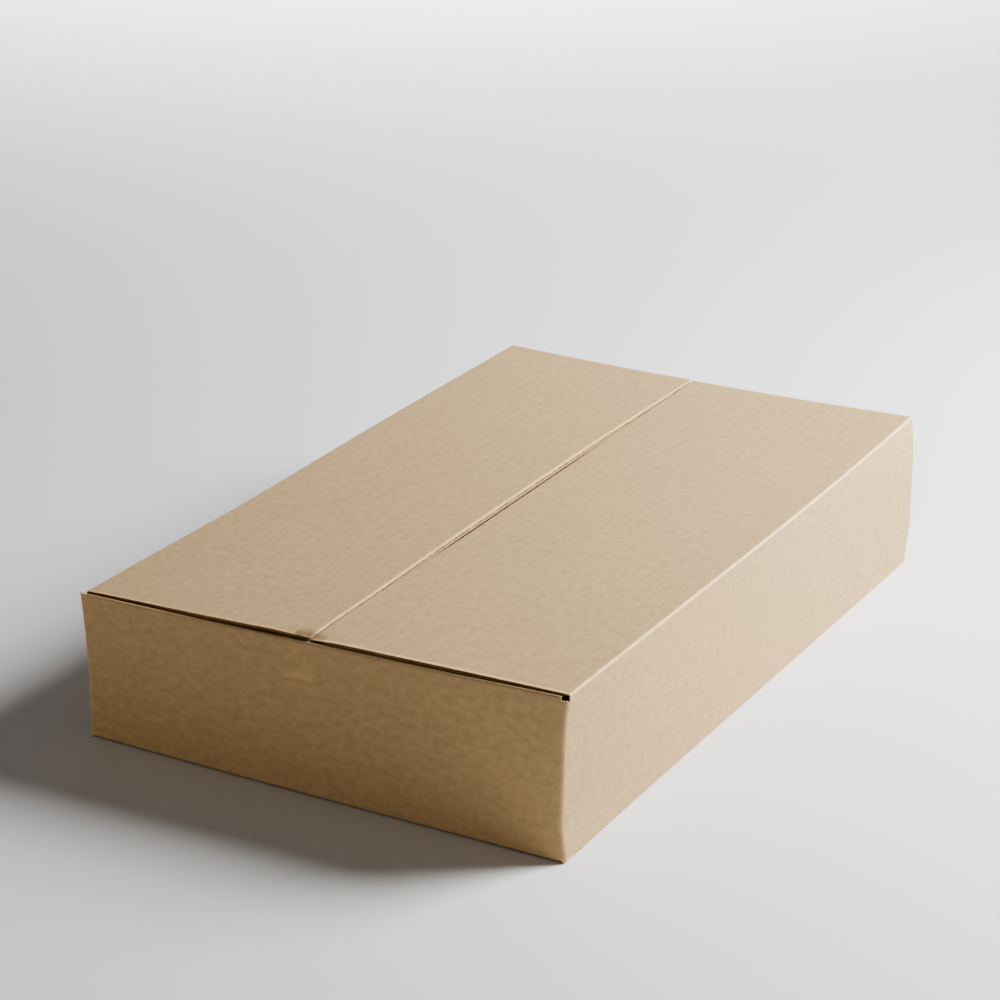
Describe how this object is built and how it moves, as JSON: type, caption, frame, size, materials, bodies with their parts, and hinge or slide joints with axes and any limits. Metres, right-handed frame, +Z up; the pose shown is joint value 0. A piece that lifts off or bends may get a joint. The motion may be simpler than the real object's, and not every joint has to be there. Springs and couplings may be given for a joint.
{
  "type": "closed corrugated carton",
  "caption": "Shallow slotted carton of plain kraft corrugated board, closed, with outer top flaps that open on their creases over a hollow inside.",
  "frame": {"origin": "on the ground under the middle of the carton's base", "axes": "+X along the length and the top seam, +Y across to the rear long wall, +Z up"},
  "size_m": [0.4, 0.25, 0.08],
  "materials": {
    "kraft_board": "matte unprinted kraft liner"
  },
  "bodies": {
    "carton": {"carton_body": "kraft_board"},
    "front_flap": {"front_flap": "kraft_board"},
    "rear_flap": {"rear_flap": "kraft_board"}
  },
  "joints": [
    {"name": "front_crease", "type": "hinge", "parent": "carton", "child": "front_flap", "pos_m": [0, -0.125, 0.08], "axis": [1, 0, 0], "range_deg": [0, 210]},
    {"name": "rear_crease", "type": "hinge", "parent": "carton", "child": "rear_flap", "pos_m": [0, 0.125, 0.08], "axis": [-1, 0, 0], "range_deg": [0, 210]}
  ]
}
